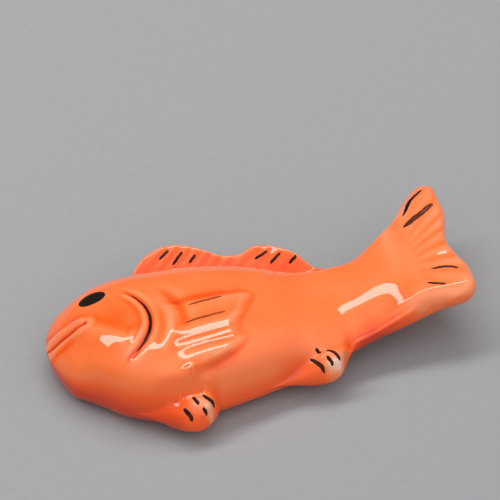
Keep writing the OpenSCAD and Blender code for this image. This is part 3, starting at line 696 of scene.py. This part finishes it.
def pooled(points, fine):
    """The glaze gained in hollows and lost on ridges, from how points lie by their neighbours."""
    along, across = np.gradient(points, axis=0), np.gradient(points, axis=1)
    n = np.cross(across, along)
    n /= np.maximum(np.linalg.norm(n, axis=-1, keepdims=True), 1e-9)
    hollow = np.zeros(points.shape[:2])
    for reach, weight in POOL_REACHES:
        r = max(1, round(reach * fine))
        off, span = 0, 1e-6
        for di, dj in ((r, 0), (-r, 0), (0, r), (0, -r)):
            i = np.clip(np.arange(points.shape[0]) + di, 0, points.shape[0] - 1)
            j = np.clip(np.arange(points.shape[1]) + dj, 0, points.shape[1] - 1)
            way = points[i][:, j] - points
            off = off + (way * n).sum(-1)
            span = span + (way * way).sum(-1)
        hollow += weight * 2 * off / span
    return np.maximum(POOL_STRENGTH * hollow, POOL_LEAST)


def glaze_and_painted_light(s, y, z, q):
    """The glaze's depth before it pools: less on rims, deeper low on the sides (partly glaze run
    down, partly painted shade), painted shade on the dorsal fins and low on the wrist, and paler
    spots on the nubs (bare clay with a painted highlight).
    """
    up_the_side = (z - q.seam) / np.maximum(q.rise * q.ends, 0.1)
    # painted shade: deeper colour low on the sides, fading out up the side, partly glaze run down
    sides = LOW_SIDE_SHADE * fading(up_the_side, *LOW_SIDE_HEIGHT)
    sides = sides * (1 - FINS_KEPT_CLEAR * q.dorsal_fin * eased((y - q.back + FIN_ROOT) / FIN_ROOT))
    # painted shade: deeper colour over the dorsal fins' faces, clear of their rims
    fins = (FIN_FACE_SHADE * q.dorsal_fin * eased((y - q.back + 1) / 2)
            * eased(q.edge_way(y) / FIN_FACE_SHADE_EDGE))
    cheek = CHEEK_GLAZE * bell(np.hypot((s - CHEEK_MIDDLE[0]) / CHEEK_HALF[0],
                                        (y - CHEEK_MIDDLE[1]) / CHEEK_HALF[1]))
    # painted shade: a deeper band low on the wrist
    wrist = (WRIST_LOW_SHADE * bell((y - q.middle + WRIST_SHADE_WAY_OFF) / WRIST_SHADE_BREADTH)
             * window(s, *WRIST_SHADE_WINDOW))
    rim = (RIM_THINNER * bell(np.minimum(q.edge_way(y), LENGTH - s) / RIM_WIDTH)
           * np.maximum(DORSAL_RIM * q.dorsal_fin, q.fan))
    # pale spots on the nubs: bare clay with a painted highlight
    nubs = sum(nub_relief(s - ds, y - dy, bare, broad) for ds, dy, bare, broad in NUB_PALE_SPOTS)
    over = OVER_PECTORAL_GLAZE * welt(s, y, OVER_PECTORAL_LINE, OVER_PECTORAL_BREADTH)
    return GLAZE_BASE - FAN_THINNER * q.fan + over + sides + fins + cheek + wrist - rim - nubs


def glazed_body():
    fine = 1.0
    along, across = int(GRID_ALONG * fine), int(GRID_ACROSS * fine)

    def top(u, v):
        s = LENGTH * curve(STATIONS, u)
        return upper_face(s, Section(s).across(v))

    def under(u, v):
        s = LENGTH * curve(STATIONS, u)
        return lower_face(s, Section(s).across(v))

    upper = grid_sheet("upper_face", along, across, top)
    lower = grid_sheet("under_face", along, across, under)

    # the grid's points run row by row along the fish
    u, v = np.meshgrid(np.linspace(0, 1, along + 1), np.linspace(0, 1, across + 1))
    s = LENGTH * curve(STATIONS, u)
    q = Section(s)
    y = q.across(v)
    # the nubs and the jaw's hollow gather no glaze
    carved = (relief(s, y, q) + jaw_hollow(s, y) - nub_relief(s, y)) * onset(y, *POOL_ONSET)
    on_top = (pooled(np.stack([s, y, carved], -1), fine)
              + glaze_and_painted_light(s, y, heights_of(upper).reshape(s.shape), q))
    # only on the two nubs does the colour go palest: bare clay showing, with a painted highlight
    on_top = np.maximum(on_top, THINNEST - nub_relief(s, y, THINNEST, NUB_PALE_BREADTH))
    beneath = glaze_and_painted_light(s, y, lower_face(s, y)[..., 2], q)
    point_values(upper, "glaze_depth_and_painted_light", np.clip(on_top, 0, 1))
    point_values(lower, "glaze_depth_and_painted_light", np.clip(beneath, 0, 1))

    body = joined([upper, lower], "glazed_fish_body")
    merged(body)
    cut_flat(body)
    body.data.materials.append(GLAZE)
    body.data.materials.append(CLAY)
    smooth(body, BODY_CREASE)
    for f in body.data.polygons:
        if f.normal.z < -0.999 and abs(f.center.z) < 1e-6:      # the foot
            f.material_index = 1
            f.use_smooth = False
    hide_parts("fish_body")
    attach(body, "root")


# The enamel marks. A stroke's places are shares of the length and of the way from the belly's
# edge to the back's; the pectoral fin's are in millimetres, as s and y.
FRONT = [[(0.322, 0.938), (0.35, 0.962)], [(0.35, 0.889), (0.381, 0.951)],
         [(0.389, 0.895), (0.409, 0.945)]]
REAR = [[(0.54, 0.913), (0.575, 0.944)], [(0.573, 0.875), (0.602, 0.945)],
        [(0.614, 0.9), (0.634, 0.963)]]
PECTORAL = [[(21.9, -4.85), (27.5, -4.1)], [(20.33, -8.38), (27.06, -7.49)]]
PELVIC = [[(0.296, 0.071), (0.309, 0.037), (0.322, 0.012)], [(0.274, 0.078), (0.285, 0.048)],
          [(0.291, 0.033), (0.3, 0.012)], [(0.25, 0.044), (0.266, 0.011)]]
ANAL = [[(0.566, 0.082), (0.572, 0.063), (0.59, 0.011)], [(0.582, 0.118), (0.592, 0.094)],
        [(0.603, 0.091), (0.613, 0.08), (0.63, 0.021)], [(0.599, 0.057), (0.611, 0.022)]]
TAIL_THIN = [[(0.893, 0.906), (0.934, 0.961), (0.969, 0.953)],
             [(0.907, 0.279), (0.944, 0.245), (0.968, 0.199)], [(0.878, 0.156), (0.922, 0.087)]]
TAIL_BROAD = [[(0.882, 0.814), (0.93, 0.802), (0.974, 0.802)]]
GILL_ARC = (37, -58, 9)         # from, to, and how many places on it

FINE_BRUSH, BROAD_BRUSH, GILL_BRUSH, PECTORAL_BRUSH = 0.5, 1.0, 0.55, 0.48
FULL_LOAD, GILL_LOAD, THIN_LOAD, WIPED_LOAD = 0.3, 0.4, 0.12, 0.1
RAGGEDNESS, THIN_END, LOAD_SPENT = 0.16, 0.03, 0.55
STROKE_CROWN, STROKE_SINK, MARK_DEPTH = 0.07, 0.012, 0.09
EYE_MIDDLE, EYE_HALF, EYE_TILT = (0.121 * LENGTH, 0.08 * WIDTH), (2.2, 1.6), 4
EYE_CROWN, EYE_LOAD = 0.09, 0.45
WAVES = ((2.1, 1.7, 2), (5.3, 2.9, 3), (11.7, 4.1, 5))      # waves, shift by the seed, divisor
WHOLE_TURN = 6.283
STROKE_GRID, GILL_STEPS, EYE_GRID = (56, 8), 120, 36


def ragged(t, seed):
    """A gentle unevenness along a stroke, from a few fixed waves."""
    return sum(np.sin(t * f * WHOLE_TURN + seed * g) / k for f, g, k in WAVES)


def stroke(path, width, seed, ends=(0.35, 0.15), load=FULL_LOAD, steps=STROKE_GRID[0]):
    """One brush stroke through a few places, thickest where the brush was pressed."""
    way = np.linspace(0, 1, len(path))
    xs = [(w, p[0]) for w, p in zip(way, path)]
    ys = [(w, p[1]) for w, p in zip(way, path)]

    def place(u, v, near=0.01):
        s, y = curve(xs, u), curve(ys, u)
        ds = curve(xs, u + near) - curve(xs, u - near)
        dy = curve(ys, u + near) - curve(ys, u - near)
        long = np.maximum(np.hypot(ds, dy), 1e-9)
        w = 2 * v - 1
        swell = rounded(u / ends[0]) * rounded((1 - u) / ends[1])
        half = width / 2 * np.maximum(swell, THIN_END) * (
            1 + RAGGEDNESS * ragged(u, seed + np.sign(w)) * np.abs(w))
        s, y = s - dy / long * w * half, y + ds / long * w * half
        lift = STROKE_CROWN * (1 - np.abs(w)**5) * np.minimum(swell + 0.3, 1) - STROKE_SINK
        return upper_face(s, y) + upward(s, y) * lift[:, None]

    piece = grid_sheet("stroke", steps, STROKE_GRID[1], place)
    piece.data.uv_layers[0].name = "brush"
    rows = steps + 1
    u = np.tile(np.linspace(0, 1, rows), len(piece.data.vertices) // rows)
    point_values(piece, "enamel_load", load * (1 - LOAD_SPENT * u))
    return piece


def from_body(path):
    """Shares of the length and of the way across, turned into millimetres."""
    out = []
    for share, v in path:
        q = Section(np.array([share * LENGTH]))
        out.append((share * LENGTH, float(mixed(q.ventral_edge, q.dorsal_edge, v)[0])))
    return out


def fin_strokes(paths, width, seed, load=FULL_LOAD):
    return [stroke(from_body(p), width, seed=seed + i, load=load) for i, p in enumerate(paths)]


def pectoral_strokes():
    return [stroke(p, PECTORAL_BRUSH, seed=8 + i, load=THIN_LOAD) for i, p in enumerate(PECTORAL)]


def gill_stroke():
    cx, cy = GILL_CENTRE
    turns = [math.radians(a) for a in np.linspace(*GILL_ARC)]
    path = [(cx + GILL_RADIUS * math.cos(a), cy + GILL_RADIUS * math.sin(a)) for a in turns]
    return stroke(path, GILL_BRUSH, seed=1.0, ends=(0.6, 0.5), load=GILL_LOAD, steps=GILL_STEPS)


def eye():
    """An oval spot, drawn round from a square grid."""
    tilt = math.radians(EYE_TILT)
    (cx, cy), (long, short) = EYE_MIDDLE, EYE_HALF

    def place(u, v):
        a, b = 2 * u - 1, 2 * v - 1
        ex = a * np.sqrt(1 - b * b / 2) * long
        ey = b * np.sqrt(1 - a * a / 2) * short
        s = cx + math.cos(tilt) * ex - math.sin(tilt) * ey
        y = cy + math.sin(tilt) * ex + math.cos(tilt) * ey
        r = np.hypot(ex / long, ey / short)
        return upper_face(s, y) + upward(s, y) * (EYE_CROWN * (1 - r**6) - STROKE_SINK)[:, None]

    piece = grid_sheet("eye_spot", EYE_GRID, EYE_GRID, place)
    piece.data.uv_layers[0].name = "brush"
    point_values(piece, "enamel_load", np.full(len(piece.data.vertices), EYE_LOAD))
    return piece


def mark(name, cad_node, strokes, material):
    piece = joined(strokes, name)
    thickened(piece, MARK_DEPTH)
    piece.data.materials.clear()
    piece.data.materials.append(material)
    smooth(piece, MARK_CREASE)
    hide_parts(cad_node)
    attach(piece, "root")


def brushed_marks():
    mark("eye_spot_enamel", "eye_enamel", [eye()], ENAMEL)
    mark("gill_arc_enamel", "gill_line_enamel", [gill_stroke()], ENAMEL)
    mark("front_dorsal_fin_brush_strokes", "front_dorsal_fin_strokes",
         fin_strokes(FRONT, FINE_BRUSH, seed=2), ENAMEL)
    mark("rear_dorsal_fin_brush_strokes", "rear_dorsal_fin_strokes",
         fin_strokes(REAR, FINE_BRUSH, seed=5), ENAMEL)
    mark("pectoral_fin_brush_strokes", "pectoral_fin_strokes", pectoral_strokes(), THIN_ENAMEL)
    mark("pelvic_fin_brush_strokes", "pelvic_fin_strokes",
         fin_strokes(PELVIC, FINE_BRUSH, seed=11), ENAMEL)
    mark("anal_fin_brush_strokes", "anal_fin_strokes",
         fin_strokes(ANAL, FINE_BRUSH, seed=15), ENAMEL)
    mark("tail_fin_brush_strokes", "tail_fin_strokes",
         fin_strokes(TAIL_THIN, FINE_BRUSH, seed=19)
         + fin_strokes(TAIL_BROAD, BROAD_BRUSH, seed=23, load=WIPED_LOAD), ENAMEL)


# Floor, light and camera
FLOOR_SIZE, FLOOR_GAP = 6, 0.05     # metres across, and millimetres under the foot
ELEVATION, AZIMUTH, DISTANCE = 44, 16.2, 420
PICTURE, PIXELS_PER_MM = 500, 6.32
LOOKED_AT, SEEN_AT = (0, 0.68, 5), (258.5, 314.8)       # a place in millimetres, and its pixel
SENSOR = 36


def grey(v):
    return (v, v, v)


def studio_floor():
    nothing_selected()
    bpy.ops.mesh.primitive_plane_add(size=FLOOR_SIZE, location=(0, 0, -FLOOR_GAP * MM))
    bpy.ops.object.transform_apply(location=True)
    floor = bpy.context.object
    floor.name = "floor"
    floor.data.materials.append(grey_paper())


def softbox(name, towards, distance, slide, size, radiance):
    """A rectangular lamp over the fish, slid along its long side; radiance is its face's glow."""
    d = Vector(towards).normalized()
    along = Vector((d.y, -d.x, 0)).normalized()
    bpy.ops.object.light_add(type="AREA")
    lamp = bpy.context.object
    lamp.name = name
    lamp.data.shape = "RECTANGLE"
    lamp.data.size, lamp.data.size_y = size
    lamp.data.energy = radiance * math.pi * size[0] * size[1]
    lamp.location = d * distance + along * slide
    lamp.rotation_mode = "QUATERNION"
    lamp.rotation_quaternion = d.to_track_quat("Z", "Y")


def studio_air():
    """Soft light, brighter from above and in front, and plain grey for what the camera sees."""
    world = bpy.data.worlds.new("studio_air")
    bpy.context.scene.world = world
    world.use_nodes = True
    tree = world.node_tree
    tree.nodes.clear()
    out = tree.nodes.new("ShaderNodeOutputWorld")
    air = node(tree, "ShaderNodeBackground", Strength=1.0)
    bright_side = node(tree, "ShaderNodeVectorMath", operation="DOT_PRODUCT")
    bright_side.inputs[1].default_value = (0.08, -0.54, 0.84)
    link = tree.links.new
    link(node(tree, "ShaderNodeTexCoord").outputs["Generated"], bright_side.inputs[0])
    link(ramp(tree, bright_side.outputs["Value"],
              [(0.05, grey(0.12)), (0.5, grey(0.5)), (1.0, grey(1.3))]), air.inputs["Color"])
    seen = node(tree, "ShaderNodeBackground", Color=(0.405, 0.405, 0.415, 1), Strength=1.0)
    mix = node(tree, "ShaderNodeMixShader")
    link(node(tree, "ShaderNodeLightPath").outputs["Is Camera Ray"], mix.inputs[0])
    link(air.outputs[0], mix.inputs[1])
    link(seen.outputs[0], mix.inputs[2])
    link(mix.outputs[0], out.inputs[0])


def camera():
    """The photograph's view of the fish."""
    e, a = math.radians(ELEVATION), math.radians(AZIMUTH)
    forward = Vector((math.sin(a) * math.cos(e), math.cos(a) * math.cos(e), -math.sin(e)))
    right = Vector((math.cos(a), -math.sin(a), 0))
    up = right.cross(forward)
    focal = PIXELS_PER_MM * DISTANCE
    data = bpy.data.cameras.new("camera")
    cam = bpy.data.objects.new("camera", data)
    bpy.context.scene.collection.objects.link(cam)
    cam.location = Vector(LOOKED_AT) * MM - forward * DISTANCE * MM
    aim = (forward + right * (PICTURE / 2 - SEEN_AT[0]) / focal
           + up * (SEEN_AT[1] - PICTURE / 2) / focal).normalized()
    side = aim.cross(up).normalized()
    turn = Matrix((side, side.cross(aim), -aim)).transposed().to_4x4()
    cam.matrix_world = Matrix.Translation(cam.location) @ turn
    data.sensor_width = SENSOR
    data.lens = focal / PICTURE * SENSOR
    data.clip_start, data.clip_end = 0.01, 20
    bpy.context.scene.camera = cam


glazed_body()
brushed_marks()
studio_floor()
nothing_selected()
softbox("overhead_softbox", towards=(-0.05, 0.38, 0.92), distance=0.6, slide=-0.17,
        size=(0.86, 0.12), radiance=8.6)
studio_air()
camera()
bpy.context.scene.view_settings.view_transform = "Standard"
